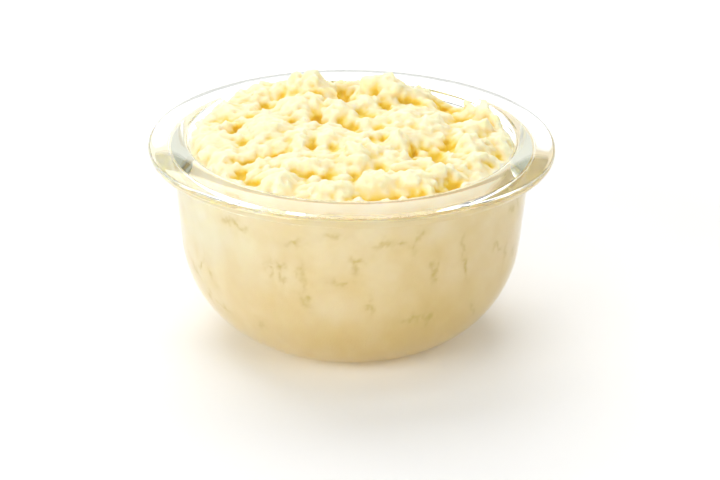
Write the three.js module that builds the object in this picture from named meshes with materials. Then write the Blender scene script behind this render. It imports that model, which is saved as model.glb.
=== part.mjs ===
// A side of mashed potato in a small clear glass bowl with a wide flat rim.
// Millimetres, +Z up. The origin is the middle of the bowl's foot, on the surface it stands on.

import * as THREE from 'three';

// ---- driving dimensions of the bowl -------------------------------------------------
const RIM_RADIUS = 50; // outermost radius of the rim
const HEIGHT = 50.26; // top of the rim's inner edge above the table
const CROWN = 14; // degrees by which the rim's face turns down towards the outside, on one arc
const RIM_EDGE = 2.8; // thickness of the rounded outer edge
const FOOT_RADIUS = 22.5; // the flat foot
const FLOOR = 3.6; // thickness of the bottom
const BELLY_RADIUS = 28.3; // round of the outside between foot and wall
const BELLY_CENTRE = [13.6, 26.7]; // its centre, as radius and height
const BELLY_START = 20; // degrees from straight down where the round leaves the foot
const WALL_LEAN = 6; // degrees that the wall opens upwards
const WALL_TOP = 45; // height at which the wall meets the rim from outside
const WALL_FILLET = 1.2; // outside, between wall and rim
const MOUTH_RADIUS = 40.2; // inside radius just under the rim's inner edge
const MOUTH_FILLET = 1.1; // round of the rim's inner edge
const HOLLOW_RADIUS = 24; // round between floor and wall inside

// ---- driving dimensions of the mash -------------------------------------------------
const GAP = 0.3; // clearance between mash and glass
const HEAP_LEVEL = 49.4; // heights in the heap are measured from here
const BLEND_SOFTNESS = 0.7; // how softly neighbouring lumps run into each other
const LUMP_PROMINENCE = 3.0; // how far a lump falls off at its own radius
const LUMP_ROUNDNESS = 2.2; // power of that fall
const EDGE_BAND = 3.2; // width of the band where the heap settles to the wall
const DOME_TOP = 3.4; // the smooth heap under the lumps
const DOME_CENTRE = [-2, 3];
const DOME_RADIUS = 41;
const DOME_FALL = 3.9;
const PIT_SHARE = 1.3; // how deep the pits are, for each millimetre in their table

// ---- fineness of the faceted solids -------------------------------------------------
const BOWL_SECTORS = 64;
const MASH_SECTORS = 80;
const HEAP_RINGS = 20;
const WALL_RINGS = 5;
const HOLLOW_STEPS = 7;

const radians = (degrees) => (degrees * Math.PI) / 180;
const lean = Math.tan(radians(WALL_LEAN));

// Main lumps of the heap: x, y, top, half length, half width, turn in degrees.
const LUMPS = [
  // along the back
  [-36, 11, 0.4, 4, 6, 0], [-32.5, 18.5, 2.0, 4, 5, 0], [-28, 23.5, 2.6, 4.5, 4.5, 20],
  [-22.5, 26, 3.4, 4.5, 4.5, 0], [-18, 27, 4.2, 4, 5, 0], [-13.8, 26, 6.2, 3.2, 4, 0],
  [-10.2, 24, 8.2, 3, 4.8, 0], [-7.2, 23.5, 5.8, 2.6, 4.5, 0], [1.8, 25.5, 4.0, 3, 4, 0],
  [5, 24.5, 6.8, 3.2, 4.5, 0], [8.4, 23.5, 7.8, 3.2, 4.5, 0], [11.8, 23.5, 5.6, 3, 4.5, 0],
  [15.2, 23, 4.3, 3.5, 4.5, 0], [18.6, 21.5, 3.5, 3.5, 4.5, 0], [29.6, 18.5, 1.6, 3.2, 4, 0],
  [32.8, 16, 3.3, 3.4, 4, 0], [36, 12.5, 2.1, 3, 4, 0],
  // across the middle
  [-20.2, -2, 4.8, 6, 6.5, 0], [-30.8, 14, 2.4, 4, 3.5, 0], [-33.5, -6, 2.2, 5, 7, 0],
  [-14, 13, 5.2, 4.8, 5, 0], [-10, 15, 5.6, 3, 5, 0], [-3.8, 11, 5.2, 4.5, 4.5, 0],
  [3.4, 16.5, 4.6, 4, 4, 0], [-12.4, -9, 4.5, 2.6, 7.5, 0], [-5.4, -7.5, 4.4, 3.6, 4, 0],
  [11, -7.5, 5.4, 2.6, 4.6, 10], [12.5, 6, 4.6, 4.6, 5, 0], [18.5, 3, 4.3, 5, 4.2, 0],
  [28.6, 4, 2.9, 4, 4.5, 0], [29, -6, 3.2, 3.6, 6, 10], [31, -15.5, 2.4, 4, 4.2, 30],
  [36, -1.5, 1.6, 3, 5, 0],
  // along the front
  [0.6, -17.5, 4.6, 3.8, 6, 0], [5, -14.5, 3.8, 3.5, 3, 0], [-11.5, -22.6, 3.6, 6.5, 3.4, 0],
  [-17.5, -30, 3.0, 5.5, 6, -10], [-30, -15, 2.0, 4.5, 4, 0], [-33, -20, 1.0, 4.5, 5, -40],
  [-5, -34, 2.6, 7, 4, 0], [6.4, -31, 3.5, 5.5, 4, 10], [14.5, -29.2, 3.6, 6, 3.6, 14],
  [21.8, -25.5, 3.4, 4.2, 3.2, 22],
];

// Clefts and pits between them: x, y, half length, half width, turn in degrees, depth.
const PITS = [
  [-8.6, 5.5, 1.8, 2.7, 0, 5.2], [-28.6, 2.5, 1.6, 3.4, -15, 2.8], [-21.3, 16.5, 1.9, 3.2, 0, 2.8],
  [-25.2, 9.5, 1.3, 2, 0, 1.6], [-31.5, 8, 3, 2.4, 0, 1.4], [-17.8, 21, 1.5, 2, 0, 1.4],
  [-9.4, 19.5, 2, 2.4, 0, 1.8], [-17.6, -14, 2.3, 2, 0, 2.8], [-21, -15.5, 3, 1.6, 10, 2.0],
  [-25.5, -17.5, 3.5, 1.5, 10, 1.6], [-26.5, -23, 2, 2.4, -40, 2.8], [-23, -28.5, 3.5, 1.6, -42, 2.2],
  [-37.5, -9, 1, 2.5, 0, 1.2], [-27, -8, 1.2, 1.6, 0, 1.4], [-9.4, -11.5, 1.3, 2.4, 0, 2.6],
  [-4.3, -13, 1.6, 2, 0, 1.4], [-5.8, -27, 2.3, 2.2, 0, 2.0], [-11, -27, 2, 1.6, 0, 1.2],
  [1.2, -27, 1.7, 1.7, 0, 1.8], [-0.4, 2, 2.2, 2.4, 0, 3.0], [-3, 5, 1.8, 1.8, 0, 1.6],
  [1.5, -1.5, 1.6, 1.6, 0, 1.8], [3.2, 9.5, 3.4, 2.6, 0, 2.2], [8.6, 15.5, 1.5, 2.2, 0, 2.6],
  [8, -6.5, 1.3, 2, 0, 2.4], [4.8, -7.5, 1.5, 1.7, 0, 1.5], [7, 0.5, 1.6, 2, 0, 1.5],
  [14.6, -11, 1.4, 2.8, -20, 2.6], [15.8, -15.5, 1.4, 2.2, 0, 2.2], [23.8, -5.5, 2, 2.8, 0, 2.4],
  [21.4, -16, 2.3, 2.7, 0, 2.8], [19.8, -10.5, 4.6, 4.2, 0, 2.2], [6.9, -21.5, 2.4, 1.4, 10, 1.8],
  [11, -23.5, 5.5, 1.7, 8, 2.0], [24.4, -28.5, 2.8, 2.3, 30, 2.6], [33, -16.5, 1.8, 2, 40, 1.6],
  [36, -9.5, 1.6, 2, 40, 1.4], [24, 8.5, 3.2, 2.4, 10, 2.4], [27.2, 13, 3, 2.4, 10, 2.4],
  [33.9, 8.5, 1.7, 2.6, 0, 2.6], [17, 7.5, 2, 2, 0, 1.2], [14.4, 19.5, 3, 2, 0, 1.8],
  [5.5, 21, 2, 2, 0, 1.2], [-15.4, 4, 2, 2, 0, 1.4], [-2.2, 27, 3.0, 6.5, 0, 4.2],
  [23.5, 24, 4.6, 7, 0, 3.6], [11, -34.8, 12, 1.7, 12, 1.8],
];

/** Points on an arc, as [radius, height]; angles in degrees from straight down towards outside. */
function arc([centreR, centreZ], radius, from, to, steps) {
  return Array.from({ length: steps + 1 }, (_, i) => {
    const angle = radians(from + ((to - from) * i) / steps);
    return [centreR + radius * Math.sin(angle), centreZ - radius * Math.cos(angle)];
  });
}

/** Turns a closed profile of [radius, height] pairs, given from the foot round to the inside. */
function turned(profile, sectors) {
  const points = profile.map(([r, z]) => new THREE.Vector2(r, z));
  return new THREE.LatheGeometry(points, sectors).rotateX(Math.PI / 2);
}

// ---- the bowl -----------------------------------------------------------------------

/** Centre of the round between floor and wall inside, worked out from the mouth. */
function hollowCentre() {
  const centreZ = FLOOR + HOLLOW_RADIUS;
  const wallEnd = 90 - WALL_LEAN;
  const startZ = centreZ - HOLLOW_RADIUS * Math.cos(radians(wallEnd));
  const startR = MOUTH_RADIUS - lean * (HEIGHT - MOUTH_FILLET - startZ);
  return [startR - HOLLOW_RADIUS * Math.sin(radians(wallEnd)), centreZ];
}

/** Inside radius of the straight wall at a height. */
function insideRadius(z) {
  return MOUTH_RADIUS - lean * (HEIGHT - MOUTH_FILLET - z);
}

/** The inside of the glass from the axis up to the mouth, moved inwards by a clearance. */
function hollowProfile(clearance, steps) {
  const [centreR, centreZ] = hollowCentre();
  return [[0, FLOOR + clearance],
    ...arc([centreR, centreZ], HOLLOW_RADIUS - clearance, 0, 90 - WALL_LEAN, steps)];
}

/** The rim's top: an arc that is level at the mouth and meets the rounded outer edge at CROWN degrees. */
function crownArc(steps) {
  const nose = RIM_EDGE / 2;
  const crown = radians(CROWN);
  const lipR = MOUTH_RADIUS + MOUTH_FILLET;
  const radius = (RIM_RADIUS - nose + nose * Math.sin(crown) - lipR) / Math.sin(crown);
  const noseZ = HEIGHT - radius * (1 - Math.cos(crown)) - nose * Math.cos(crown);
  return [...arc([RIM_RADIUS - nose, noseZ], nose, 0, 180 - CROWN, 5),
    ...arc([lipR, HEIGHT - radius], radius, 180 - CROWN, 180, steps).slice(1, -1)];
}

function bowlProfile() {
  const outside = arc(BELLY_CENTRE, BELLY_RADIUS, BELLY_START, 90 - WALL_LEAN, 8);
  const [bellyR, bellyZ] = outside.at(-1);
  const wallRadius = bellyR + lean * (WALL_TOP - bellyZ);
  const fillet = arc([wallRadius + WALL_FILLET, WALL_TOP], WALL_FILLET, -90, -170, 2);
  const mouth = arc([MOUTH_RADIUS + MOUTH_FILLET, HEIGHT - MOUTH_FILLET], MOUTH_FILLET, 180, 270, 4);
  return [[0, 0], [FOOT_RADIUS, 0], ...outside, ...fillet,
    ...crownArc(4), ...mouth, ...hollowProfile(0, 8).reverse()];
}

// ---- the mash -----------------------------------------------------------------------

/** Distance of a point from the middle of a turned ellipse, 1 on its outline. */
function ellipseDistance(x, y, [cx, cy], [halfLength, halfWidth], turn) {
  const c = Math.cos(radians(turn));
  const s = Math.sin(radians(turn));
  const along = ((x - cx) * c + (y - cy) * s) / halfLength;
  const across = ((y - cy) * c - (x - cx) * s) / halfWidth;
  return Math.hypot(along, across);
}

/** Height of the mash where it touches the glass, from HEAP_LEVEL: high in front, low behind. */
function edgeHeight(angle) {
  return -2.0 - 1.6 * Math.sin(angle) - 0.5 * Math.sin(2 * angle) + 0.35 * Math.cos(5 * angle);
}

/** Height of the heap above HEAP_LEVEL: a dome and the lumps, softly joined, less the pits. */
function heapHeight(x, y) {
  const [domeX, domeY] = DOME_CENTRE;
  const fromMiddle = Math.hypot(x - domeX, y - domeY) / DOME_RADIUS;
  const heights = [DOME_TOP - DOME_FALL * fromMiddle ** LUMP_ROUNDNESS];
  for (const [cx, cy, top, halfLength, halfWidth, turn] of LUMPS) {
    const q = ellipseDistance(x, y, [cx, cy], [halfLength, halfWidth], turn);
    heights.push(top - LUMP_PROMINENCE * q ** LUMP_ROUNDNESS);
  }
  const total = heights.reduce((sum, h) => sum + Math.exp(h / BLEND_SOFTNESS), 0);
  let height = BLEND_SOFTNESS * Math.log(total);
  for (const [cx, cy, halfLength, halfWidth, turn, depth] of PITS) {
    const q = ellipseDistance(x, y, [cx, cy], [halfLength, halfWidth], turn);
    height -= PIT_SHARE * depth * Math.exp(-q * q);
  }
  return height;
}

/** The whole upper surface, settled to the wall over EDGE_BAND. */
function surfaceHeight(x, y, radius) {
  const inward = THREE.MathUtils.clamp((radius - Math.hypot(x, y)) / EDGE_BAND, 0, 1);
  const share = THREE.MathUtils.smoothstep(inward, 0, 1);
  const edge = edgeHeight(Math.atan2(y, x));
  return HEAP_LEVEL + edge * (1 - share) + heapHeight(x, y) * share;
}

/** The mash: turned to the hollow of the bowl, its upper rings lifted to the heap. */
function mashGeometry() {
  const below = hollowProfile(GAP, HOLLOW_STEPS);
  const [startR, startZ] = below.at(-1);
  const edgeRadius = MOUTH_RADIUS - GAP;
  const lowestEdge = WALL_TOP;
  for (let i = 1; i <= WALL_RINGS; i++) {
    const z = startZ + ((lowestEdge - startZ) * i) / WALL_RINGS;
    below.push([startR + lean * (z - startZ), z]);
  }
  const rings = Array.from({ length: HEAP_RINGS + 1 }, (_, i) => [
    edgeRadius * (1 - i / HEAP_RINGS), HEAP_LEVEL]);
  const geometry = turned([...below, ...rings], MASH_SECTORS);
  const place = geometry.attributes.position;
  for (let i = 0; i < place.count; i++) {
    if (place.getZ(i) < HEAP_LEVEL - 0.01) continue;
    const x = place.getX(i);
    const y = place.getY(i);
    const z = surfaceHeight(x, y, edgeRadius);
    const out = Math.hypot(x, y);
    const scale = out > edgeRadius - 0.01 ? (insideRadius(z) - GAP) / out : 1;
    place.setXYZ(i, x * scale, y * scale, z);
  }
  geometry.computeVertexNormals();
  return geometry;
}

// ---- the scene ----------------------------------------------------------------------

const glass = new THREE.MeshStandardMaterial({
  color: 0xe6eee8, roughness: 0.05, metalness: 0, transparent: true, opacity: 0.35,
});
const potato = new THREE.MeshStandardMaterial({ color: 0xf7e6a6, roughness: 0.7, metalness: 0 });

const group = new THREE.Group();
const bowl = new THREE.Mesh(turned(bowlProfile(), BOWL_SECTORS), glass);
bowl.name = 'glass_bowl';
const mash = new THREE.Mesh(mashGeometry(), potato);
mash.name = 'mashed_potato';
group.add(bowl, mash);

export default group;
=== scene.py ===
"""A side of coarse mashed potato heaped in a small pressed-glass bowl, on a pale studio floor.

Lengths in the classes are millimetres, but for the lamps and the floor, and are turned to metres where
a mesh is made. The origin is the middle of the bowl's foot, +Z is up, and the side seen first faces -Y.
"""

import logging
import math
from dataclasses import dataclass
from enum import Enum

import bpy
import numpy as np
from mathutils import Matrix, Vector


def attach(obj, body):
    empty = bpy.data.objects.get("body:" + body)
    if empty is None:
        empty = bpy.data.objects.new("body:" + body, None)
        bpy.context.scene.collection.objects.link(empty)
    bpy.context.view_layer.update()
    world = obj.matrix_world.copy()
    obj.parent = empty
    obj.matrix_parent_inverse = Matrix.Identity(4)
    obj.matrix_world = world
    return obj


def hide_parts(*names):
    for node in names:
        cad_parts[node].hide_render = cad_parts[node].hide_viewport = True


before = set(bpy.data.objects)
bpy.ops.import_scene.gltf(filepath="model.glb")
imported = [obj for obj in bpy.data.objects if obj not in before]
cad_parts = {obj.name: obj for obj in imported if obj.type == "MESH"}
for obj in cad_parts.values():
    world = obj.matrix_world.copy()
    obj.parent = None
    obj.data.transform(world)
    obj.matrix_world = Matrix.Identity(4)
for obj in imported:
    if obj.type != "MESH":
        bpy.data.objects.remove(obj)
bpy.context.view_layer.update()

log = logging.getLogger("mashed_potato_side")
MM = 0.001

# The mash's depth attribute runs up to PACKED_DEPTH behind the glass, and from CREST_DEPTH to 1 on the heap; a colour
# ramp turns it into painted shade.
PACKED_DEPTH = 0.08
CREST_DEPTH = 0.12

# Places at whole multiples of the golden share of a span stay evenly spread, however many there are.
GOLDEN_SHARE = 0.618034


class Slot(Enum):
    """The record's material slots."""

    GLASS = "clear_glass"
    MASH = "mashed_potato"


class Node(Enum):
    """The CAD nodes that finer pieces stand for."""

    BOWL = "glass_bowl"
    MASH = "mashed_potato"


# ---------------------------------------------------------------- numbers, noise and meshes


def smooth_step(low: float, high: float, values: np.ndarray) -> np.ndarray:
    """Returns 0 below low and 1 above high, with the cubic 3t^2 - 2t^3 between them.

    Args:
        low: Value where the step starts; it may be larger than high, which turns the step round.
        high: Value where the step ends.
        values: Numbers to map.

    Returns:
        An array shaped like values.
    """
    t = np.clip((values - low) / (high - low), 0.0, 1.0)
    return t * t * (3.0 - 2.0 * t)


def cell_number(cells: np.ndarray, seed: int) -> np.ndarray:
    """Returns a fixed number from 0 to 1 for each lattice cell.

    Formula: each whole coordinate is multiplied by its own large odd number and they are joined by
    exclusive or with the seed's number; two rounds of shift, exclusive or and multiply then scramble
    the 32 bits, and the result is divided by the largest number that they hold.

    Args:
        cells: Whole coordinates, the last axis running over x, y (and z).
        seed: Picks another set of numbers.

    Returns:
        One number for each cell.
    """
    factors, seed_factor, seed_start, scrambler = (73856093, 19349663, 83492791), 2654435761, 97, 2246822519
    all_bits, lowest_cell = 0xFFFFFFFF, -32768
    mixed = np.full(cells.shape[:-1], (seed * seed_factor + seed_start) & all_bits, dtype=np.uint64)
    for axis in range(cells.shape[-1]):
        whole = (cells[..., axis].astype(np.int64) - lowest_cell).astype(np.uint64)
        mixed ^= (whole * np.uint64(factors[axis])) & np.uint64(all_bits)
    for _ in range(2):
        mixed ^= mixed >> np.uint64(15)
        mixed = (mixed * np.uint64(scrambler)) & np.uint64(all_bits)
        mixed ^= mixed >> np.uint64(13)
    return mixed.astype(np.float64) / all_bits


def draws(numbers: np.ndarray, count: int, seed: int) -> list[np.ndarray]:
    """Returns count random numbers from 0 to 1 for each whole number, the same ones every time.

    Args:
        numbers: Whole numbers, such as those of crumbs.
        count: Draws for each.
        seed: Picks another set.

    Returns:
        One array for each draw.
    """
    return [cell_number(np.stack([numbers, numbers * 0 + draw], axis=-1), seed) for draw in range(count)]


def soft_noise(points: np.ndarray, cell: float, seed: int, octaves: int = 1) -> np.ndarray:
    """Returns smooth noise from -1 to 1, of any number of dimensions.

    Formula: each lattice corner holds a random number, and a point blends its cell's corners with the
    quintic 6t^5 - 15t^4 + 10t^3 along each axis. Each further octave has half the cell and half the height.

    Args:
        points: Coordinates, the last axis running over x, y (and z).
        cell: Lattice spacing of the first octave, in the points' unit.
        seed: Picks another noise.
        octaves: Number of sizes added up.

    Returns:
        One number for each point.
    """
    total = np.zeros(points.shape[:-1])
    reach = 0.0
    for octave in range(octaves):
        share = 0.5**octave
        scaled = points / (cell * share)
        low = np.floor(scaled)
        t = scaled - low
        t = t * t * t * (t * (t * 6.0 - 15.0) + 10.0)
        layer = np.zeros(points.shape[:-1])
        for corner in np.ndindex(*(2,) * points.shape[-1]):
            step = np.array(corner)
            weight = np.prod(np.where(step == 1, t, 1.0 - t), axis=-1)
            layer += weight * cell_number(low + step, seed + 101 * octave)
        total += share * (2.0 * layer - 1.0)
        reach += share
    return total / reach


def mesh_piece(name: str, points: np.ndarray, faces: list[np.ndarray], smooth: bool = True) -> bpy.types.Object:
    """Makes an object from vertices in millimetres and blocks of triangles and quads.

    Args:
        name: Name of the object and its mesh.
        points: Vertices, one row each, in millimetres.
        faces: Integer arrays, one row for each face; a block holds faces of one kind.
        smooth: Whether the faces are shaded smooth.

    Returns:
        The new object, linked to the scene, at the origin.
    """
    mesh = bpy.data.meshes.new(name)
    sizes = np.concatenate([np.full(len(block), block.shape[1]) for block in faces])
    corners = np.concatenate([block.ravel() for block in faces]).astype(np.int32)
    mesh.vertices.add(len(points))
    mesh.vertices.foreach_set("co", (points * MM).astype(np.float32).ravel())
    mesh.loops.add(len(corners))
    mesh.loops.foreach_set("vertex_index", corners)
    mesh.polygons.add(len(sizes))
    starts = np.concatenate([[0], np.cumsum(sizes)[:-1]]).astype(np.int32)
    mesh.polygons.foreach_set("loop_start", starts)
    mesh.polygons.foreach_set("use_smooth", np.full(len(sizes), smooth))
    mesh.update(calc_edges=True)
    mesh.validate()
    piece = bpy.data.objects.new(name, mesh)
    bpy.context.scene.collection.objects.link(piece)
    return piece


def ring_faces(rows: int, columns: int, start: int = 0) -> np.ndarray:
    """Returns the quads of a tube of rings, each ring being one row of vertices that closes on itself.

    Args:
        rows: Number of rings.
        columns: Vertices in each ring.
        start: Number of the first vertex.

    Returns:
        One row of four vertex numbers for each quad.
    """
    row, column = np.meshgrid(np.arange(rows - 1), np.arange(columns), indexing="ij")
    here = start + row * columns + column
    beside = start + row * columns + (column + 1) % columns
    return np.stack([here, beside, beside + columns, here + columns], axis=-1).reshape(-1, 4)


def fan_faces(hub: int, ring_start: int, columns: int, faces_down: bool) -> np.ndarray:
    """Returns the triangles from a ring of vertices to the one vertex that closes it.

    Args:
        hub: Number of the closing vertex.
        ring_start: Number of the ring's first vertex.
        columns: Vertices in the ring.
        faces_down: Whether the triangles face down, as under a foot, and not up.

    Returns:
        One row of three vertex numbers for each triangle.
    """
    here = ring_start + np.arange(columns)
    beside = ring_start + (np.arange(columns) + 1) % columns
    hubs = np.full(columns, hub)
    order = [hubs, beside, here] if faces_down else [hubs, here, beside]
    return np.stack(order, axis=-1)


def unit_ball(rings: int) -> tuple[np.ndarray, list[np.ndarray]]:
    """Makes a closed ball of radius 1 from rings of points and two poles.

    Formula: a point at polar angle p and turn t is (sin p cos t, sin p sin t, cos p).

    Args:
        rings: Stretches from pole to pole; each ring has twice as many points.

    Returns:
        The vertices, and blocks of faces.
    """
    columns = 2 * rings
    polar = (np.pi * np.arange(1, rings) / rings)[:, None]
    turn = 2.0 * np.pi * np.arange(columns) / columns
    ring = np.stack([np.sin(polar) * np.cos(turn), np.sin(polar) * np.sin(turn), np.cos(polar) + 0.0 * turn], axis=-1)
    ball = np.concatenate([ring.reshape(-1, 3), [[0.0, 0.0, 1.0], [0.0, 0.0, -1.0]]])
    faces = [
        ring_faces(rings - 1, columns)[:, ::-1],
        fan_faces(len(ball) - 2, 0, columns, faces_down=False),
        fan_faces(len(ball) - 1, (rings - 2) * columns, columns, faces_down=True),
    ]
    return ball, faces


def random_turns(first: np.ndarray, second: np.ndarray, third: np.ndarray) -> np.ndarray:
    """Turns three random draws to one evenly spread turn each.

    Formula: the draws give a unit quaternion, whose first pair has the root of one less the first draw
    as length and the second draw as angle, and whose other pair has the root of the first draw and the
    third draw. The quaternion is then written out as a matrix.

    Args:
        first: Numbers from 0 to 1.
        second: Numbers from 0 to 1.
        third: Numbers from 0 to 1.

    Returns:
        One matrix of three rows and columns for each set of draws.
    """
    a, b, c = np.sqrt(1.0 - first), np.sqrt(first), 2.0 * np.pi
    i, j, k, r = a * np.sin(c * second), a * np.cos(c * second), b * np.sin(c * third), b * np.cos(c * third)
    rows = (
        (1.0 - 2.0 * (j * j + k * k), 2.0 * (i * j - k * r), 2.0 * (i * k + j * r)),
        (2.0 * (i * j + k * r), 1.0 - 2.0 * (i * i + k * k), 2.0 * (j * k - i * r)),
        (2.0 * (i * k - j * r), 2.0 * (j * k + i * r), 1.0 - 2.0 * (i * i + j * j)),
    )
    return np.stack([np.stack(row, axis=-1) for row in rows], axis=1)


# ---------------------------------------------------------------- materials


def linear(hex_code: str) -> tuple[float, float, float, float]:
    """Turns an sRGB hex value to linear red, green, blue and an alpha of 1.

    Args:
        hex_code: Six hex digits, with or without a leading #.

    Returns:
        The four numbers that a colour socket takes.
    """
    digits = hex_code.lstrip("#")
    parts = [int(digits[i : i + 2], 16) / 255.0 for i in (0, 2, 4)]
    return (*((c / 12.92 if c <= 0.04045 else ((c + 0.055) / 1.055) ** 2.4) for c in parts), 1.0)


def add_node(tree: bpy.types.NodeTree, kind: str, settings: dict | None = None, **inputs: object) -> bpy.types.Node:
    """Adds a node, sets it up and links it.

    Args:
        tree: Node tree that gets the node.
        kind: Blender's type name of the node.
        settings: The node's own properties and their values.
        **inputs: Input sockets by name, with _ for a space, or by place as input_0, input_1. A socket
            given as value is linked, anything else is the input's value.

    Returns:
        The node.
    """
    node = tree.nodes.new(kind)
    for key, value in (settings or {}).items():
        setattr(node, key, value)
    for key, value in inputs.items():
        place = key.removeprefix("input_")
        socket = node.inputs[int(place)] if place.isdigit() else node.inputs[key.replace("_", " ")]
        if isinstance(value, bpy.types.NodeSocket):
            tree.links.new(value, socket)
        else:
            socket.default_value = value
    return node


def new_material(name: str) -> tuple[bpy.types.Material, bpy.types.NodeTree, bpy.types.Node]:
    """Makes an empty node material.

    Args:
        name: Name of the material.

    Returns:
        The material, its node tree and its output node.
    """
    material = bpy.data.materials.new(name)
    material.use_nodes = True
    material.node_tree.nodes.clear()
    output = material.node_tree.nodes.new("ShaderNodeOutputMaterial")
    return material, material.node_tree, output


@dataclass(frozen=True)
class PressedGlass:
    """Soda-lime glass, pressed in a mould and fire polished: clear, with a faint green in its edges.

    The mould leaves a very shallow waviness that bends what is seen through it, and the belly, which
    the fire polish reaches less, is a little softer to look through than the bright rim. Absorption is
    per metre of glass, and depth_tint is the colour that it leaves.
    """

    tint: str = "#fefffe"
    ior: float = 1.5
    wave_mm: float = 9.0
    wave_height_mm: float = 0.02
    wave_detail: float = 1.0
    belly_roughness: float = 0.06
    polished_from_mm: tuple[float, float] = (37.0, 44.0)
    depth_tint: str = "#959e59"
    absorption: float = 5.0

    def make(self) -> bpy.types.Material:
        """Builds the glass: clear all through, blurred a little round the belly, with waves from the mould.

        Returns:
            The material.
        """
        material, tree, output = new_material("pressed_soda_lime_glass")
        place = add_node(tree, "ShaderNodeTexCoord")
        waves = add_node(
            tree,
            "ShaderNodeTexNoise",
            Vector=place.outputs["Object"],
            Scale=1.0 / (self.wave_mm * MM),
            Detail=self.wave_detail,
        )
        bump = add_node(
            tree, "ShaderNodeBump", Height=waves.outputs["Fac"], Strength=1.0, Distance=self.wave_height_mm * MM
        )
        parts = add_node(tree, "ShaderNodeSeparateXYZ", Vector=place.outputs["Object"])
        low, high = self.polished_from_mm
        polish = add_node(
            tree,
            "ShaderNodeMapRange",
            Value=parts.outputs["Z"],
            From_Min=low * MM,
            From_Max=high * MM,
            To_Min=self.belly_roughness,
            To_Max=0.0,
        )
        glass = add_node(
            tree,
            "ShaderNodeBsdfPrincipled",
            Base_Color=linear(self.tint),
            Roughness=polish.outputs["Result"],
            IOR=self.ior,
            Transmission_Weight=1.0,
            Normal=bump.outputs["Normal"],
        )
        tree.links.new(glass.outputs[0], output.inputs["Surface"])
        body = add_node(tree, "ShaderNodeVolumeAbsorption", Color=linear(self.depth_tint), Density=self.absorption)
        tree.links.new(body.outputs[0], output.inputs["Volume"])
        return material


@dataclass(frozen=True)
class MashedPotato:
    """Boiled floury potato mashed with butter and milk: moist, matt to satin, and translucent.

    Light that enters comes out again a few millimetres on and a little yellower. Over that, the colour is
    painted shade: nearly white on the thin crests and deep yellow in clefts and pits. Behind the glass
    the tone differs at random in patches, and painted shade makes it darker towards the bottom and on
    the front right; where air is trapped it is painted darker olive as shade. The grain is that of single
    potato cells in clumps, drawn coarse enough to show.
    """

    # Stops of the colour ramp: two tones behind the glass, which mix random tone with painted shade, then painted
    # shade on the heap from the pale crests to the deep yellow of clefts and pits.
    packed_dense_and_shade: str = "#e9d599"
    packed: str = "#fef5e1"
    crest: str = "#fcf1cb"
    body: str = "#f9e5b5"
    cleft: str = "#f6db71"
    pit: str = "#f0cc3e"
    # Painted shade where air is trapped behind the glass.
    pocket: str = "#d6c474"
    roughness: float = 0.5
    ior: float = 1.38
    body_depth: float = 0.50
    cleft_depth: float = 0.85
    grain_mm: float = 0.55
    grain_height_mm: float = 0.13
    grain_strength: float = 0.8
    grain_detail: float = 3.0
    grain_roughness: float = 0.6
    spread_mm: tuple[float, float, float] = (1.7, 1.6, 0.9)

    def middle_stops(self) -> tuple[tuple[float, str], ...]:
        """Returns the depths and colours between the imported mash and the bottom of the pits."""
        return (
            (PACKED_DEPTH, self.packed),
            (CREST_DEPTH, self.crest),
            (self.body_depth, self.body),
            (self.cleft_depth, self.cleft),
        )

    def make(self) -> bpy.types.Material:
        """Builds the mash's finish: colour by depth and pocket, light spread inside, a fine grain of bumps.

        The attribute depth_shade_and_tone runs from 0 where darkest to PACKED_DEPTH where palest behind the glass,
        and from CREST_DEPTH on crests to 1 at the bottom of pits; the ramp turns it into painted shade, with
        random tone behind the glass. The attribute air_pocket_shade rises to 1 where air is trapped behind the
        glass, and paints it darker olive as shade.

        Returns:
            The material.
        """
        material, tree, output = new_material("moist_mashed_potato")
        place = add_node(tree, "ShaderNodeTexCoord")
        depth = add_node(tree, "ShaderNodeAttribute", {"attribute_name": "depth_shade_and_tone"})
        # The ramp paints shade by depth: pale crests, deep yellow clefts and pits, and the tones behind the glass.
        ramp = add_node(tree, "ShaderNodeValToRGB", Fac=depth.outputs["Fac"])
        stops = ramp.color_ramp.elements
        stops[0].color, stops[1].color = linear(self.packed_dense_and_shade), linear(self.pit)
        for position, colour in self.middle_stops():
            stops.new(position).color = linear(colour)
        # Trapped air is painted darker olive, as painted shade.
        pocket = add_node(tree, "ShaderNodeAttribute", {"attribute_name": "air_pocket_shade"})
        colour = add_node(
            tree,
            "ShaderNodeMix",
            {"data_type": "RGBA"},
            input_0=pocket.outputs["Fac"],
            input_6=ramp.outputs["Color"],
            input_7=linear(self.pocket),
        )
        grain = add_node(
            tree,
            "ShaderNodeTexNoise",
            Vector=place.outputs["Object"],
            Scale=1.0 / (self.grain_mm * MM),
            Detail=self.grain_detail,
            Roughness=self.grain_roughness,
        )
        bump = add_node(
            tree,
            "ShaderNodeBump",
            Height=grain.outputs["Fac"],
            Strength=self.grain_strength,
            Distance=self.grain_height_mm * MM,
        )
        mash = add_node(
            tree,
            "ShaderNodeBsdfPrincipled",
            Base_Color=colour.outputs[2],
            Roughness=self.roughness,
            IOR=self.ior,
            Subsurface_Weight=1.0,
            Subsurface_Radius=self.spread_mm,
            Subsurface_Scale=MM,
            Normal=bump.outputs["Normal"],
        )
        tree.links.new(mash.outputs[0], output.inputs["Surface"])
        return material


# ---------------------------------------------------------------- the glass bowl


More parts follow.
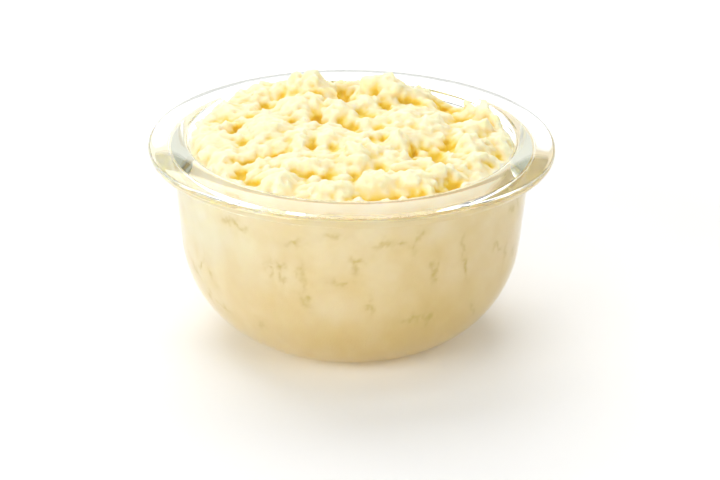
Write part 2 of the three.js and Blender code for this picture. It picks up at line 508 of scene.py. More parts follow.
@dataclass
class GlassBowl:
    """The bowl, a solid of revolution with a wide, nearly flat rim. Sizes in millimetres.

    The rim's top falls by crown degrees to its edge. Fields that end in steps are numbers of stretches.
    """

    rim_radius: float = 50.0
    height: float = 50.26
    crown: float = 14.0
    rim_edge: float = 2.8
    foot_radius: float = 22.5
    floor: float = 3.6
    belly_radius: float = 28.3
    belly_centre: tuple[float, float] = (13.6, 26.7)
    belly_start: float = 20.0
    wall_lean: float = 6.0
    wall_top: float = 45.0
    wall_fillet: float = 1.2
    mouth_radius: float = 40.2
    mouth_fillet: float = 1.1
    hollow_radius: float = 24.0
    columns: int = 288
    belly_steps: int = 34
    outer_wall_steps: int = 7
    inner_wall_steps: int = 11
    small_round_steps: int = 8
    rim_steps: int = 14
    hollow_steps: int = 30
    foot_shares: tuple[float, ...] = (0.4, 0.8, 0.97)
    floor_shares: tuple[float, ...] = (0.9, 0.5)

    @property
    def lean(self) -> float:
        """How much the wall opens for each millimetre of height."""
        return math.tan(math.radians(self.wall_lean))

    @property
    def hollow_centre(self) -> tuple[float, float]:
        """Radius and height of the middle of the round between floor and wall inside.

        Formula: the round touches the floor and the inside wall, whose line runs down from the mouth.

        Returns:
            Radius and height, in millimetres.
        """
        centre_z = self.floor + self.hollow_radius
        end = math.radians(90.0 - self.wall_lean)
        start_z = centre_z - self.hollow_radius * math.cos(end)
        start_r = self.mouth_radius - self.lean * (self.height - self.mouth_fillet - start_z)
        return start_r - self.hollow_radius * math.sin(end), centre_z

    @property
    def hollow_wall_start(self) -> float:
        """Height where the inside's round ends and its straight wall starts."""
        return self.hollow_centre[1] - self.hollow_radius * math.sin(math.radians(self.wall_lean))

    def inside_radius(self, height: np.ndarray) -> np.ndarray:
        """Returns the inside radius of the straight wall and the mouth's round at each height.

        Formula: the wall is a line that leans outwards; above the start of the mouth's round, the
        radius follows a quarter circle to the rim's inner edge.

        Args:
            height: Heights above the table, not below the start of the straight wall.

        Returns:
            One radius for each height.
        """
        turn = self.height - self.mouth_fillet
        wall = self.mouth_radius + self.lean * (np.minimum(height, turn) - turn)
        rise = np.clip(height - turn, 0.0, self.mouth_fillet)
        return wall + self.mouth_fillet - np.sqrt(self.mouth_fillet**2 - rise**2)

    @staticmethod
    def arc(centre: tuple[float, float], radius: float, start: float, end: float, steps: int) -> np.ndarray:
        """Returns evenly spaced points on an arc, from start to end in degrees from straight down outwards."""
        angle = np.radians(np.linspace(start, end, steps + 1))
        return np.stack([centre[0] + radius * np.sin(angle), centre[1] - radius * np.cos(angle)], axis=-1)

    def profile(self) -> np.ndarray:
        """Works out the bowl's outline, from the middle of the foot outside to the middle of the floor inside.

        Formula: flat foot, belly as an arc, a straight leaning wall, a small round under the rim, the
        rim's edge as most of a half circle, the rim's top as an arc of a large circle, a small round at
        the mouth, the straight inside wall and the inside's round down to the floor.

        Returns:
            One row of radius and height for each point.
        """
        nose, few, steep = self.rim_edge / 2.0, self.small_round_steps, 90.0 - self.wall_lean
        outside = self.arc(self.belly_centre, self.belly_radius, self.belly_start, steep, self.belly_steps)
        wall = outside[-1, 0] + self.lean * (self.wall_top - outside[-1, 1])
        up_wall = np.linspace(outside[-1], [wall, self.wall_top], self.outer_wall_steps + 1)[1:-1]
        under = self.arc((wall + self.wall_fillet, self.wall_top), self.wall_fillet, -90.0, -170.0, few)
        crown = math.radians(self.crown)
        lip_r = self.mouth_radius + self.mouth_fillet
        crown_radius = (self.rim_radius - nose + nose * math.sin(crown) - lip_r) / math.sin(crown)
        nose_z = self.height - crown_radius * (1.0 - math.cos(crown)) - nose * math.cos(crown)
        edge = self.arc((self.rim_radius - nose, nose_z), nose, 0.0, 180.0 - self.crown, self.rim_steps)
        crown_centre = (lip_r, self.height - crown_radius)
        top = self.arc(crown_centre, crown_radius, 180.0 - self.crown, 180.0, self.rim_steps)[1:-1]
        mouth = self.arc((lip_r, self.height - self.mouth_fillet), self.mouth_fillet, 180.0, 270.0, few)
        hollow = self.arc(self.hollow_centre, self.hollow_radius, steep, 0.0, self.hollow_steps)
        down_wall = np.linspace(mouth[-1], hollow[0], self.inner_wall_steps + 1)[1:-1]
        foot = np.array([[self.foot_radius * share, 0.0] for share in self.foot_shares])
        floor = np.array([[hollow[-1, 0] * share, self.floor] for share in self.floor_shares])
        return np.concatenate([foot, outside, up_wall, under, edge, top, mouth, down_wall, hollow, floor])

    def build(self) -> bpy.types.Object:
        """Builds the bowl by carrying the profile round the axis.

        Formula: the point at angle a of a profile point (r, z) is (r cos a, r sin a, z).

        Returns:
            The bowl's object.
        """
        line = self.profile()
        angle = np.linspace(0.0, 2.0 * np.pi, self.columns, endpoint=False)
        rings = np.stack(
            [
                line[:, None, 0] * np.cos(angle),
                line[:, None, 0] * np.sin(angle),
                np.repeat(line[:, None, 1], self.columns, axis=1),
            ],
            axis=-1,
        ).reshape(-1, 3)
        points = np.concatenate([rings, [[0.0, 0.0, 0.0], [0.0, 0.0, self.floor]]])
        last = (len(line) - 1) * self.columns
        faces = [
            ring_faces(len(line), self.columns),
            np.concatenate(
                [
                    fan_faces(len(rings), 0, self.columns, faces_down=True),
                    fan_faces(len(rings) + 1, last, self.columns, faces_down=False),
                ]
            ),
        ]
        return mesh_piece("pressed_glass_bowl", points, faces)

    def dress(self, piece: bpy.types.Object) -> None:
        """Gives the bowl its glass and its place in the frame.

        Args:
            piece: The bowl's object.
        """
        piece.data.materials.append(PressedGlass().make())
        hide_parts(Node.BOWL.value)
        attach(piece, "root")


# ---------------------------------------------------------------- the mash


@dataclass(frozen=True)
class Lump:
    """One main lump of the heap: its middle, its top, its half length, half width and turn."""

    x: float
    y: float
    top: float
    half_length: float
    half_width: float
    turn: float = 0.0


@dataclass(frozen=True)
class Pit:
    """One cleft or pit between lumps: its middle, half length, half width, turn and depth."""

    x: float
    y: float
    half_length: float
    half_width: float
    turn: float
    depth: float


LUMPS = (
    # along the back, from left to right
    Lump(-36, 11, 0.4, 4, 6), Lump(-32.5, 18.5, 2.0, 4, 5), Lump(-28, 23.5, 2.6, 4.5, 4.5, 20),
    Lump(-22.5, 26, 3.4, 4.5, 4.5), Lump(-18, 27, 4.2, 4, 5), Lump(-13.8, 26, 6.2, 3.2, 4),
    Lump(-10.2, 24, 8.2, 3, 4.8), Lump(-7.2, 23.5, 5.8, 2.6, 4.5), Lump(1.8, 25.5, 4.0, 3, 4),
    Lump(5, 24.5, 6.8, 3.2, 4.5), Lump(8.4, 23.5, 7.8, 3.2, 4.5), Lump(11.8, 23.5, 5.6, 3, 4.5),
    Lump(15.2, 23, 4.3, 3.5, 4.5), Lump(18.6, 21.5, 3.5, 3.5, 4.5), Lump(29.6, 18.5, 1.6, 3.2, 4),
    Lump(32.8, 16, 3.3, 3.4, 4), Lump(36, 12.5, 2.1, 3, 4),
    # across the middle
    Lump(-20.2, -2, 4.8, 6, 6.5), Lump(-30.8, 14, 2.4, 4, 3.5), Lump(-33.5, -6, 2.2, 5, 7),
    Lump(-14, 13, 5.2, 4.8, 5), Lump(-10, 15, 5.6, 3, 5), Lump(-3.8, 11, 5.2, 4.5, 4.5),
    Lump(3.4, 16.5, 4.6, 4, 4), Lump(-12.4, -9, 4.5, 2.6, 7.5), Lump(-5.4, -7.5, 4.4, 3.6, 4),
    Lump(11, -7.5, 5.4, 2.6, 4.6, 10), Lump(12.5, 6, 4.6, 4.6, 5), Lump(18.5, 3, 4.3, 5, 4.2),
    Lump(28.6, 4, 2.9, 4, 4.5), Lump(29, -6, 3.2, 3.6, 6, 10), Lump(31, -15.5, 2.4, 4, 4.2, 30),
    Lump(36, -1.5, 1.6, 3, 5),
    # along the front
    Lump(0.6, -17.5, 4.6, 3.8, 6), Lump(5, -14.5, 3.8, 3.5, 3), Lump(-11.5, -22.6, 3.6, 6.5, 3.4),
    Lump(-17.5, -30, 3.0, 5.5, 6, -10), Lump(-30, -15, 2.0, 4.5, 4), Lump(-33, -20, 1.0, 4.5, 5, -40),
    Lump(-5, -34, 2.6, 7, 4), Lump(6.4, -31, 3.5, 5.5, 4, 10), Lump(14.5, -29.2, 3.6, 6, 3.6, 14),
    Lump(21.8, -25.5, 3.4, 4.2, 3.2, 22),
)

PITS = (
    Pit(-8.6, 5.5, 1.8, 2.7, 0, 5.2), Pit(-28.6, 2.5, 1.6, 3.4, -15, 2.8), Pit(-21.3, 16.5, 1.9, 3.2, 0, 2.8),
    Pit(-25.2, 9.5, 1.3, 2, 0, 1.6), Pit(-31.5, 8, 3, 2.4, 0, 1.4), Pit(-17.8, 21, 1.5, 2, 0, 1.4),
    Pit(-9.4, 19.5, 2, 2.4, 0, 1.8), Pit(-17.6, -14, 2.3, 2, 0, 2.8), Pit(-21, -15.5, 3, 1.6, 10, 2.0),
    Pit(-25.5, -17.5, 3.5, 1.5, 10, 1.6), Pit(-26.5, -23, 2, 2.4, -40, 2.8), Pit(-23, -28.5, 3.5, 1.6, -42, 2.2),
    Pit(-37.5, -9, 1, 2.5, 0, 1.2), Pit(-27, -8, 1.2, 1.6, 0, 1.4), Pit(-9.4, -11.5, 1.3, 2.4, 0, 2.6),
    Pit(-4.3, -13, 1.6, 2, 0, 1.4), Pit(-5.8, -27, 2.3, 2.2, 0, 2.0), Pit(-11, -27, 2, 1.6, 0, 1.2),
    Pit(1.2, -27, 1.7, 1.7, 0, 1.8), Pit(-0.4, 2, 2.2, 2.4, 0, 3.0), Pit(-3, 5, 1.8, 1.8, 0, 1.6),
    Pit(1.5, -1.5, 1.6, 1.6, 0, 1.8), Pit(3.2, 9.5, 3.4, 2.6, 0, 2.2), Pit(8.6, 15.5, 1.5, 2.2, 0, 2.6),
    Pit(8, -6.5, 1.3, 2, 0, 2.4), Pit(4.8, -7.5, 1.5, 1.7, 0, 1.5), Pit(7, 0.5, 1.6, 2, 0, 1.5),
    Pit(14.6, -11, 1.4, 2.8, -20, 2.6), Pit(15.8, -15.5, 1.4, 2.2, 0, 2.2), Pit(23.8, -5.5, 2, 2.8, 0, 2.4),
    Pit(21.4, -16, 2.3, 2.7, 0, 2.8), Pit(19.8, -10.5, 4.6, 4.2, 0, 2.2), Pit(6.9, -21.5, 2.4, 1.4, 10, 1.8),
    Pit(11, -23.5, 5.5, 1.7, 8, 2.0), Pit(24.4, -28.5, 2.8, 2.3, 30, 2.6), Pit(33, -16.5, 1.8, 2, 40, 1.6),
    Pit(36, -9.5, 1.6, 2, 40, 1.4), Pit(24, 8.5, 3.2, 2.4, 10, 2.4), Pit(27.2, 13, 3, 2.4, 10, 2.4),
    Pit(33.9, 8.5, 1.7, 2.6, 0, 2.6), Pit(17, 7.5, 2, 2, 0, 1.2), Pit(14.4, 19.5, 3, 2, 0, 1.8),
    Pit(5.5, 21, 2, 2, 0, 1.2), Pit(-15.4, 4, 2, 2, 0, 1.4), Pit(-2.2, 27, 3.0, 6.5, 0, 4.2),
    Pit(23.5, 24, 4.6, 7, 0, 3.6), Pit(11, -34.8, 12, 1.7, 12, 1.8),
)


@dataclass(frozen=True)
class Void:
    """One pocket of air trapped behind the glass: its middle, half length, half width and turn.

    The bearing is in degrees from the front, to the right. A turn of 90 is upright.
    """

    bearing: float
    height: float
    half_length: float
    half_width: float
    turn: float = 0.0


VOIDS = (
    Void(-20.0, 38.4, 1.8, 0.55, 8), Void(-6.1, 41.1, 1.3, 0.55), Void(-16.8, 30.6, 1.5, 0.50, 75),
    Void(-16.4, 28.2, 1.3, 0.50, 100), Void(-15.6, 23.4, 1.6, 0.50, -55), Void(2.7, 35.0, 1.3, 0.60, 30),
    Void(2.2, 32.6, 1.4, 0.50, 80), Void(-3.0, 28.4, 1.6, 0.40, 5), Void(12.3, 39.0, 1.9, 0.55, 0),
    Void(17.6, 38.9, 1.1, 0.50, 20), Void(24.0, 40.3, 1.6, 0.55, 62), Void(22.6, 37.4, 1.4, 0.55, 68),
    Void(30.2, 29.8, 2.1, 0.50, 92), Void(41.0, 35.0, 2.2, 0.55, 96), Void(43.6, 29.0, 2.2, 0.60, 105),
    Void(-36.9, 13.7, 0.9, 0.50, 40), Void(23.5, 17.8, 1.5, 0.50, 10), Void(29.6, 16.6, 1.6, 0.50, 115),
    Void(-25.4, 32.0, 1.2, 0.40, -20), Void(-28.8, 29.4, 1.3, 0.35, 90), Void(-24.0, 29.0, 1.6, 0.35, 90),
    Void(7.2, 22.4, 1.6, 0.35, 90), Void(-41.3, 39.8, 2.0, 0.55, -12), Void(-44.5, 40.8, 1.2, 0.50, 10),
)


@dataclass(frozen=True)
class AirPockets:
    """The air trapped between mash and glass, on the unrolled wall. Sizes in millimetres.

    A noise of bend_mm shifts the pockets by up to bend. A pocket fades out at soft_edge of its own half
    axes, in a wide faint surround. A noise of patch_mm breaks the pockets up. The sides and the back
    have hidden_count pockets at random: their ranges are each a least and a largest value. The share
    sets the pockets a little into the mash, and colours them and their surround darker olive as painted shade.
    """

    wall_radius: float
    bend_mm: float = 2.0
    bend: float = 1.9
    bend_seeds: tuple[int, int] = (71, 72)
    soft_edge: float = 2.4
    surround: tuple[float, float] = (6.0, 1.0)
    surround_share: float = 0.22
    strength: float = 0.54
    patches: float = 0.36
    patch_mm: float = 1.1
    patch_seed: int = 83
    hidden_count: int = 56
    hidden_seed: int = 91
    hidden_bearing: tuple[float, float] = (52.0, 172.0)
    hidden_height: tuple[float, float] = (13.0, 42.0)
    hidden_half_length: tuple[float, float] = (0.9, 2.1)
    hidden_half_width: tuple[float, float] = (0.35, 0.60)
    hidden_turn: tuple[float, float] = (25.0, 155.0)

    def hidden(self) -> list[Void]:
        """Strews the pockets of the sides and the back.

        Formula: pocket k lies at its golden share of the bearings, on alternate sides of the front. Its
        height, half length, half width and turn are random draws, upright more often than flat.

        Returns:
            The pockets.
        """
        k = np.arange(self.hidden_count)
        first, last = self.hidden_bearing
        side = np.where(k % 2 == 0, 1.0, -1.0)
        bearing = side * (first + (last - first) * np.mod(k * GOLDEN_SHARE, 1.0))
        ranges = (self.hidden_height, self.hidden_half_length, self.hidden_half_width, self.hidden_turn)
        draw = draws(k, len(ranges), self.hidden_seed)
        drawn = [low + (high - low) * values for (low, high), values in zip(ranges, draw)]
        return [Void(*(float(value) for value in row)) for row in zip(bearing, *drawn)]

    def share(self, angle: np.ndarray, height: np.ndarray) -> np.ndarray:
        """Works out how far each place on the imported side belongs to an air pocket.

        Formula: on the unrolled wall, shifted by noise, each void is an ellipse with a soft edge and a
        wide faint surround. A finer noise breaks them up.

        Args:
            angle: Angles round the axis, in radians from +X.
            height: Heights above the table.

        Returns:
            One share for each place, from 0 to 1.
        """
        bearing = np.arctan2(np.cos(angle), -np.sin(angle))
        sheet = np.stack([bearing * self.wall_radius, height], axis=-1)
        shift = np.stack([soft_noise(sheet, self.bend_mm, seed, octaves=4) for seed in self.bend_seeds], axis=-1)
        moved = sheet + self.bend * shift
        share = np.zeros_like(height)
        for void in (*VOIDS, *self.hidden()):
            c, s = math.cos(math.radians(void.turn)), math.sin(math.radians(void.turn))
            across = moved[..., 0] - math.radians(void.bearing) * self.wall_radius
            up = moved[..., 1] - void.height
            away = np.hypot((across * c + up * s) / void.half_length, (up * c - across * s) / void.half_width)
            surround = self.surround_share * smooth_step(*self.surround, away)
            share = np.maximum(share, smooth_step(self.soft_edge, 0.0, away) + surround)
        broken = self.strength + self.patches * soft_noise(sheet, self.patch_mm, self.patch_seed, octaves=2)
        return np.clip(broken * share, 0.0, 1.0)


@dataclass(frozen=True)
class Crumbs:
    """One size of crumbs strewn over the heap and pressed into it. Sizes in millimetres.

    Small radii are commoner than large ones, by the power small_bias. Lift is how far a crumb stands
    out, in its own radii. A crumb is stretched more one way than the others, and swollen by two sizes
    of noise, which is taken far enough apart for each crumb to differ.
    """

    count: int
    smallest: float
    largest: float
    lift: float
    uneven: float
    seed: int
    rings: int = 7
    small_bias: float = 2.2
    lift_spread: float = 0.35
    stretch: tuple[float, float, float] = (1.15, 0.85, 0.65)
    stretch_spread: float = 0.3
    swells: tuple[float, float] = (1.2, 2.9)
    fine_swell: float = 0.5
    fine_swell_seed: int = 9
    noise_apart: float = 17.0
    draw_count: int = 11


@dataclass
class MashHeap:
    """The mash: pressed into the bowl below, heaped and crumbled above. Sizes in millimetres.

    Heights of lumps, dome and edge are from the level. The edge has a mean height and three waves: back
    lower than front, a twist and five small ones. The smear is the strip that the spoon passed last.
    """

    bowl: GlassBowl

    # the main form: its edge, lumps, dome and pits
    level: float = 49.4
    edge_waves: tuple[float, float, float, float] = (-2.0, 1.6, 0.5, 0.35)
    edge_band: float = 3.2
    softness: float = 0.7
    prominence: float = 3.0
    roundness: float = 2.2
    dome_top: float = 3.4
    dome_centre: tuple[float, float] = (-2.0, 3.0)
    dome_radius: float = 41.0
    dome_fall: float = 3.9
    pit_share: float = 1.3
    deep_pit: float = 3.5
    slope_step: float = 0.15

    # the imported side, its air pockets, and where the skin counts as free of the glass
    reach_into_glass: float = 0.25
    above_rim: float = 0.3
    pocket_depth: float = 0.12
    pocket_fade: float = 0.1
    free_from_wall: tuple[float, float] = (0.2, 2.0)
    packed_below: tuple[float, float] = (8.0, 6.0)

    # the meshes' rows and the lattice on which they fuse
    cells_across: int = 112
    wall_rows: int = 60
    round_rows: int = 36
    floor_rows: int = 3
    voxel: float = 0.545

    # crumbs, the places with many or few of them, and the skin's roughness as cell, height and seed
    crumbs: tuple[Crumbs, ...] = (
        Crumbs(220, 1.6, 3.0, -0.55, 0.45, 11),
        Crumbs(1200, 0.8, 1.6, -0.20, 0.45, 23),
        Crumbs(4200, 0.45, 0.95, 0.15, 0.40, 37, rings=5),
    )
    rim_gap: float = 0.6
    crumb_reach: float = 0.8
    crumbled: float = 0.78
    crumbled_least: float = 0.1
    crumbled_patches: float = 0.5
    crumbled_patch_mm: float = 11.0
    crumbled_seed: int = 5
    smear: Pit = Pit(8.0, -34.0, 22.0, 4.5, 0.0, 0.55)
    grain: tuple[tuple[float, float, int], ...] = ((3.4, 0.30, 51), (1.2, 0.30, 53))

    # the painted shade by depth on the heap: a mean, and the weights of near hollows, far hollows and pits
    even_rounds: tuple[int, int] = (5, 40)
    shade_weights: tuple[float, float, float, float] = (0.34, 1.1, 0.85, 0.7)

    # the tone behind the glass: a mean that differs at random in patches, and painted shade towards the bottom and on
    # one side
    loose: float = 0.64
    loose_patches: float = 0.35
    loose_patch_mm: float = 7.0
    loose_seed: int = 77
    loose_cylinder: float = 40.0
    bottom_shade: float = 0.40
    bottom_shade_heights: tuple[float, float] = (34.0, 6.0)
    side_shade: float = 0.30
    side_shade_angle: float = -32.0

    @property
    def air(self) -> AirPockets:
        """The air pockets on the inside of the bowl."""
        return AirPockets(self.bowl.mouth_radius)

    def edge_height(self, angle: np.ndarray) -> np.ndarray:
        """Returns the height where the mash touches the glass: the mean and its waves round the bowl."""
        mean, tilt, twist, ripple = self.edge_waves
        return mean - tilt * np.sin(angle) - twist * np.sin(2.0 * angle) + ripple * np.cos(5.0 * angle)

    @staticmethod
    def ellipse_distance(x: np.ndarray, y: np.ndarray, item: Lump | Pit) -> np.ndarray:
        """Measures how far places are from the middle of a turned ellipse, as a share of its half axes.

        Args:
            x: Places to the right.
            y: Places to the back.
            item: Lump or pit that gives the ellipse.

        Returns:
            One distance for each place, 1 on the outline.
        """
        c, s = math.cos(math.radians(item.turn)), math.sin(math.radians(item.turn))
        along = ((x - item.x) * c + (y - item.y) * s) / item.half_length
        across = ((y - item.y) * c - (x - item.x) * s) / item.half_width
        return np.hypot(along, across)

    def main_height(self, x: np.ndarray, y: np.ndarray) -> np.ndarray:
        """Works out the heap's main form above the level.

        Formula: the soft maximum of a dome and the main lumps, each its top less a power of the distance
        from its middle, less a bell-shaped pit for each cleft.

        Args:
            x: Places to the right.
            y: Places to the back.

        Returns:
            One height for each place.
        """
        from_middle = np.hypot(x - self.dome_centre[0], y - self.dome_centre[1]) / self.dome_radius
        dome = self.dome_top - self.dome_fall * from_middle**self.roundness
        total = np.exp(dome / self.softness)
        for lump in LUMPS:
            q = self.ellipse_distance(x, y, lump)
            total += np.exp((lump.top - self.prominence * q**self.roundness) / self.softness)
        height = self.softness * np.log(total)
        for pit in PITS:
            height -= self.pit_share * pit.depth * np.exp(-self.ellipse_distance(x, y, pit) ** 2)
        return height

    def hollow_shade_share(self, x: np.ndarray, y: np.ndarray) -> np.ndarray:
        """Works out how deep in a pit each place is, from 0 outside to 1 in the deepest.

        Formula: the sum of the pits' bells, each by its depth over that of a deep pit. It feeds the painted shade of
        pits.

        Args:
            x: Places to the right.
            y: Places to the back.

        Returns:
            One share for each place.
        """
        share = np.zeros_like(x)
        for pit in PITS:
            share += pit.depth / self.deep_pit * np.exp(-self.ellipse_distance(x, y, pit) ** 2)
        return np.clip(share, 0.0, 1.0)

    def settled_height(self, x: np.ndarray, y: np.ndarray) -> np.ndarray:
        """Works out the main form settled to the wall's contact height over the edge band.

        Args:
            x: Places to the right.
            y: Places to the back.

        Returns:
            One height above the level for each place.
        """
        share = smooth_step(0.0, self.edge_band, self.bowl.mouth_radius - np.hypot(x, y))
        edge = self.edge_height(np.arctan2(y, x))
        return edge * (1.0 - share) + self.main_height(x, y) * share

    def surface_normal(self, x: np.ndarray, y: np.ndarray) -> np.ndarray:
        """Works out the upward normal of the main form, from height differences over the slope step each way.

        Args:
            x: Places to the right.
            y: Places to the back.

        Returns:
            One unit vector for each place.
        """
        step = self.slope_step
        slope_x = (self.settled_height(x + step, y) - self.settled_height(x - step, y)) / (2.0 * step)
        slope_y = (self.settled_height(x, y + step) - self.settled_height(x, y - step)) / (2.0 * step)
        normal = np.stack([-slope_x, -slope_y, np.ones_like(x)], axis=-1)
        return normal / np.linalg.norm(normal, axis=-1, keepdims=True)

    def broken(self, x: np.ndarray, y: np.ndarray) -> np.ndarray:
        """Works out how broken the surface is, from 0 where the spoon smeared it to 1 where it crumbled.

        Formula: a constant plus a wide noise, less a long bell along the front where the spoon passed.

        Args:
            x: Places to the right.
            y: Places to the back.

        Returns:
            One share for each place.
        """
        place = np.stack([x, y], axis=-1)
        patches = soft_noise(place, self.crumbled_patch_mm, self.crumbled_seed, octaves=2)
        smeared = self.smear.depth * np.exp(-self.ellipse_distance(x, y, self.smear) ** 2)
        return np.clip(self.crumbled + self.crumbled_patches * patches - smeared, self.crumbled_least, 1.0)

    def top_grid(self) -> tuple[np.ndarray, np.ndarray]:
        """Makes the unit disc's grid.

        Formula: a square grid from -1 to 1 is pulled to the disc by keeping each point's larger
        coordinate as radius and turning the ratio of the two, from -1 to 1, to an eighth turn each way.

        Returns:
            The grid's points, and the numbers of its rim vertices in order round the axis.
        """
        n = self.cells_across
        line = np.linspace(-1.0, 1.0, n + 1)
        a, b = np.meshgrid(line, line, indexing="ij")
        wide = np.abs(a) >= np.abs(b)
        radius = np.where(wide, a, b)
        safe = np.where(radius == 0.0, 1.0, radius)
        ratio = np.where(wide, b, a) / safe
        angle = np.where(wide, ratio * np.pi / 4.0, np.pi / 2.0 - ratio * np.pi / 4.0)
        disc = np.stack([radius * np.cos(angle), radius * np.sin(angle)], axis=-1).reshape(-1, 2)
        number = np.arange((n + 1) ** 2).reshape(n + 1, n + 1)
        rim = np.concatenate([number[n, :n], number[n:0:-1, n], number[0, n:0:-1], number[:n, 0]])
        return disc, rim

    def core(self) -> tuple[np.ndarray, list[np.ndarray]]:
        """Makes the closed core: the main form's grid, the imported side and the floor.

        Formula: the heap is the disc's grid at the main height. From its rim the side follows the inside
        of the glass, a little into it and less the pockets, down the wall, round the corner and over the
        floor to the axis.

        Returns:
            The vertices, and blocks of faces.
        """
        disc, rim = self.top_grid()
        n = self.cells_across
        angle = np.arctan2(disc[:, 1], disc[:, 0])
        radius = self.bowl.inside_radius(self.level + self.edge_height(angle)) + self.reach_into_glass
        x, y = disc[:, 0] * radius, disc[:, 1] * radius
        top = np.stack([x, y, self.level + self.settled_height(x, y)], axis=-1)
        rim_angle = angle[rim]
        side = self.side_rows(rim_angle, top[rim, 2])
        rows, columns = side.shape[:2]
        points = np.concatenate([top, side.reshape(-1, 3), [[0.0, 0.0, side[-1, 0, 2]]]])
        first = len(top)
        number = np.arange((n + 1) ** 2).reshape(n + 1, n + 1)
        quads = np.stack([number[:-1, :-1], number[1:, :-1], number[1:, 1:], number[:-1, 1:]], -1).reshape(-1, 4)
        k = np.arange(columns)
        beside = (k + 1) % columns
        seam = np.stack([rim[k], first + k, first + beside, rim[beside]], axis=-1)
        bottom = fan_faces(len(points) - 1, first + (rows - 1) * columns, columns, faces_down=True)
        return points, [quads, seam, ring_faces(rows, columns, first)[:, ::-1], bottom]

    def strewn(self, kind: Crumbs) -> tuple[np.ndarray, list[np.ndarray]]:
        """Makes one size of crumbs as closed, uneven balls on the heap.

        Formula: crumb k lies at the angle of k golden turns and at the root of its share of the area,
        shifted at random. Its ball of rings is stretched to three random radii, swollen by two sizes of
        noise on the sphere, turned at random and moved along the heap's normal by its lift.

        Args:
            kind: The size of crumb.

        Returns:
            The vertices of all crumbs, and blocks of faces.
        """
        k = np.arange(kind.count)
        draw = draws(k, kind.draw_count, kind.seed)
        size = kind.smallest + (kind.largest - kind.smallest) * draw[0] ** kind.small_bias
        turn = k * np.pi * (3.0 - math.sqrt(5.0)) + kind.seed
        spacing = self.bowl.mouth_radius * math.sqrt(np.pi / kind.count)
        out = (self.bowl.mouth_radius - self.rim_gap) * np.sqrt((k + 0.5) / kind.count)
        x = out * np.cos(turn) + spacing * (draw[1] - 0.5)
        y = out * np.sin(turn) + spacing * (draw[2] - 0.5)
        inside = np.hypot(x, y) + self.crumb_reach * size < self.bowl.mouth_radius
        kept = inside & (draw[3] < self.broken(x, y))
        x, y, size = x[kept], y[kept], size[kept]
        draw = [values[kept] for values in draw]
        normal = self.surface_normal(x, y)
        middle = np.stack([x, y, self.level + self.settled_height(x, y)], axis=-1)
        middle += normal * (size * (kind.lift + kind.lift_spread * (draw[4] - 0.5)))[:, None]

        ball, ball_faces = unit_ball(kind.rings)
        place = ball[None] + kind.noise_apart * k[kept][:, None, None]
        wide, fine = (place * finer for finer in kind.swells)
        uneven = soft_noise(wide, 1.0, kind.seed) + kind.fine_swell * soft_noise(fine, 1.0, kind.fine_swell_seed)
        swell = 1.0 + kind.uneven * uneven
        stretch = np.stack(
            [least + kind.stretch_spread * more for least, more in zip(kind.stretch, draw[5:8])], axis=-1
        )
        shape = ball[None] * swell[..., None] * stretch[:, None, :] * size[:, None, None]
        turned = random_turns(draw[8], draw[9], draw[10])
        points = np.einsum("kab,kvb->kva", turned, shape) + middle[:, None, :]
        start = (np.arange(len(points)) * len(ball))[:, None, None]
        return points.reshape(-1, 3), [(block[None] + start).reshape(-1, block.shape[1]) for block in ball_faces]

    def fused(self, parts: list[tuple[np.ndarray, list[np.ndarray]]]) -> tuple[np.ndarray, np.ndarray]:
        """Fuses closed parts to one skin of quads.

        Formula: each point of a fine cubic lattice is told to lie inside any part or outside all, and
        the skin runs between the two kinds of point. Its largest shell is kept.

        Args:
            parts: Vertices and blocks of faces of each part, in millimetres.

        Returns:
            The skin's vertices, in millimetres, and its quads.
        """
        points, faces, start = [], [], 0
        for vertices, blocks in parts:
            points.append(vertices)
            faces += [block + start for block in blocks]
            start += len(vertices)
        lump = mesh_piece("unfused_mash", np.concatenate(points), faces)
        remesh = lump.modifiers.new("fuse", "REMESH")
        remesh.mode = "VOXEL"
        remesh.voxel_size = self.voxel * MM
        skin = bpy.data.meshes.new_from_object(lump.evaluated_get(bpy.context.evaluated_depsgraph_get()))
        vertices = np.empty(3 * len(skin.vertices), dtype=np.float32)
        skin.vertices.foreach_get("co", vertices)
        corners = np.empty(len(skin.loops), dtype=np.int32)
        skin.loops.foreach_get("vertex_index", corners)
        bpy.data.objects.remove(lump)
        bpy.data.meshes.remove(skin)
        return self.outer_shell(vertices.reshape(-1, 3).astype(np.float64) / MM, corners.reshape(-1, 4))

    @staticmethod
    def outer_shell(points: np.ndarray, quads: np.ndarray) -> tuple[np.ndarray, np.ndarray]:
        """Keeps the largest connected shell and drops the closed voids inside it.

        Formula: every vertex takes the lowest number among its own and its neighbours', with each
        number replaced by the number it points at, until nothing changes.

        Args:
            points: Vertices of all shells.
            quads: Their quads.

        Returns:
            The vertices and the quads of the largest shell.
        """
        label = np.arange(len(points))
        while True:
            lowest = label[quads].min(axis=1)
            new = label.copy()
            np.minimum.at(new, quads.ravel(), np.repeat(lowest, 4))
            new = new[new]
            if np.array_equal(new, label):
                break
            label = new
        kept = label == np.bincount(label).argmax()
        number = np.cumsum(kept) - 1
        return points[kept], number[quads[kept[quads[:, 0]]]]

    @staticmethod
    def neighbour_mean(values: np.ndarray, quads: np.ndarray, rounds: int) -> np.ndarray:
        """Evens values out along the edges, each round being half the value and half its neighbours' mean.

        Args:
            values: One row for each vertex.
            quads: The skin's quads.
            rounds: How many times.

        Returns:
            The evened values.
        """
        here = quads.ravel()
        beside = np.roll(quads, -1, axis=1).ravel()
        count = np.bincount(here, minlength=len(values)).astype(float)
        even = values.copy()
        for _ in range(rounds):
            sums = [np.bincount(here, even[beside, axis], len(values)) for axis in range(values.shape[1])]
            total = np.stack(sums, axis=-1)
            even = 0.5 * even + 0.5 * total / count[:, None]
        return even

